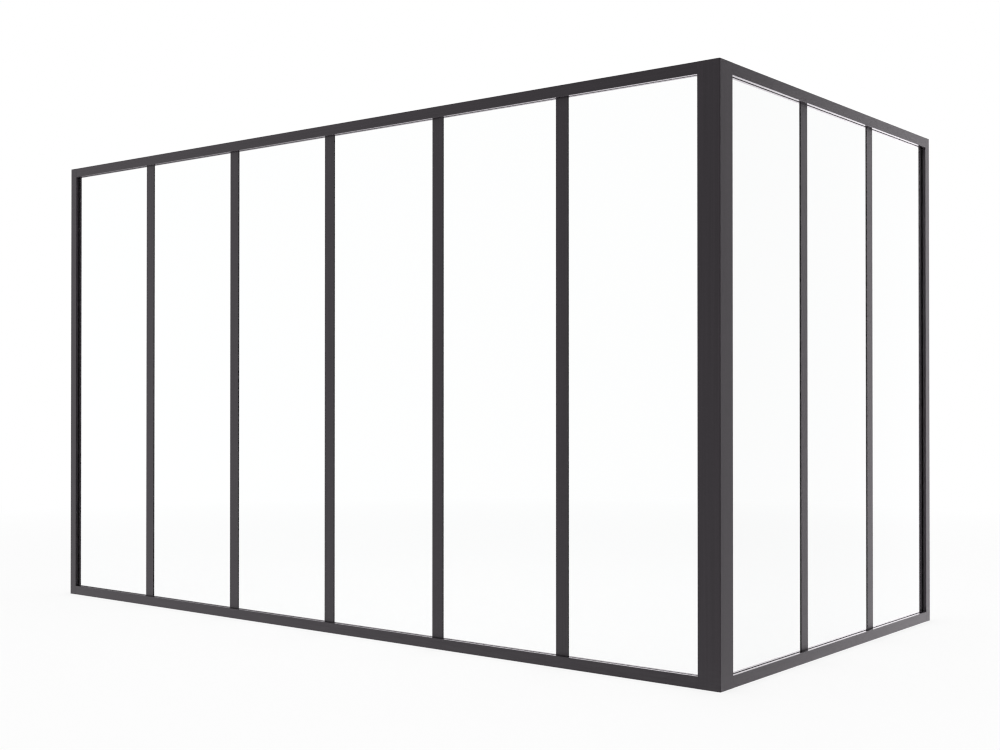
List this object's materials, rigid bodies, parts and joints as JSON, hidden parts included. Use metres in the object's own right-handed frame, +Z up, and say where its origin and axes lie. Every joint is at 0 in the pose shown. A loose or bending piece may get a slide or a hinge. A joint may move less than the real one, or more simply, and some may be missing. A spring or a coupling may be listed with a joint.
{
  "type": "interior glass partition",
  "caption": "Corner glass partition of two runs in a slim dark frame: a wide corner post, head and sill rails, end jambs, slim flat mullions and clear fixed panes.",
  "frame": {"origin": "on the floor, under the middle of the partition's outline", "axes": "+X along the long run towards the corner post, +Y along the short run away from the corner post, +Z up; the long run's outer face looks towards -Y and the short run's towards +X"},
  "size_m": [4.33, 2.2, 2.5],
  "materials": {
    "frame_powder_coat": "fine satin powder coat, anthracite",
    "clear_glass": "clear polished toughened glass",
    "black_gasket": "matt black",
    "setting_block": "moulded, matt"
  },
  "bodies": {
    "root": {"corner_post": "frame_powder_coat", "long_end_jamb": "frame_powder_coat", "long_head_rail": "frame_powder_coat", "long_inner_gasket": "black_gasket", "long_jamb_end_plates": "frame_powder_coat", "long_mullion_1": "frame_powder_coat", "long_mullion_2": "frame_powder_coat", "long_mullion_3": "frame_powder_coat", "long_mullion_4": "frame_powder_coat", "long_mullion_5": "frame_powder_coat", "long_mullion_seals": "black_gasket", "long_outer_gasket": "black_gasket", "long_pane_1": "clear_glass", "long_pane_2": "clear_glass", "long_pane_3": "clear_glass", "long_pane_4": "clear_glass", "long_pane_5": "clear_glass", "long_pane_6": "clear_glass", "long_setting_blocks": "setting_block", "long_sill_rail": "frame_powder_coat", "post_base_plate": "frame_powder_coat", "post_top_plate": "frame_powder_coat", "short_end_jamb": "frame_powder_coat", "short_head_rail": "frame_powder_coat", "short_inner_gasket": "black_gasket", "short_jamb_end_plates": "frame_powder_coat", "short_mullion_1": "frame_powder_coat", "short_mullion_2": "frame_powder_coat", "short_mullion_seals": "black_gasket", "short_outer_gasket": "black_gasket", "short_pane_1": "clear_glass", "short_pane_2": "clear_glass", "short_pane_3": "clear_glass", "short_setting_blocks": "setting_block", "short_sill_rail": "frame_powder_coat"}
  },
  "joints": []
}
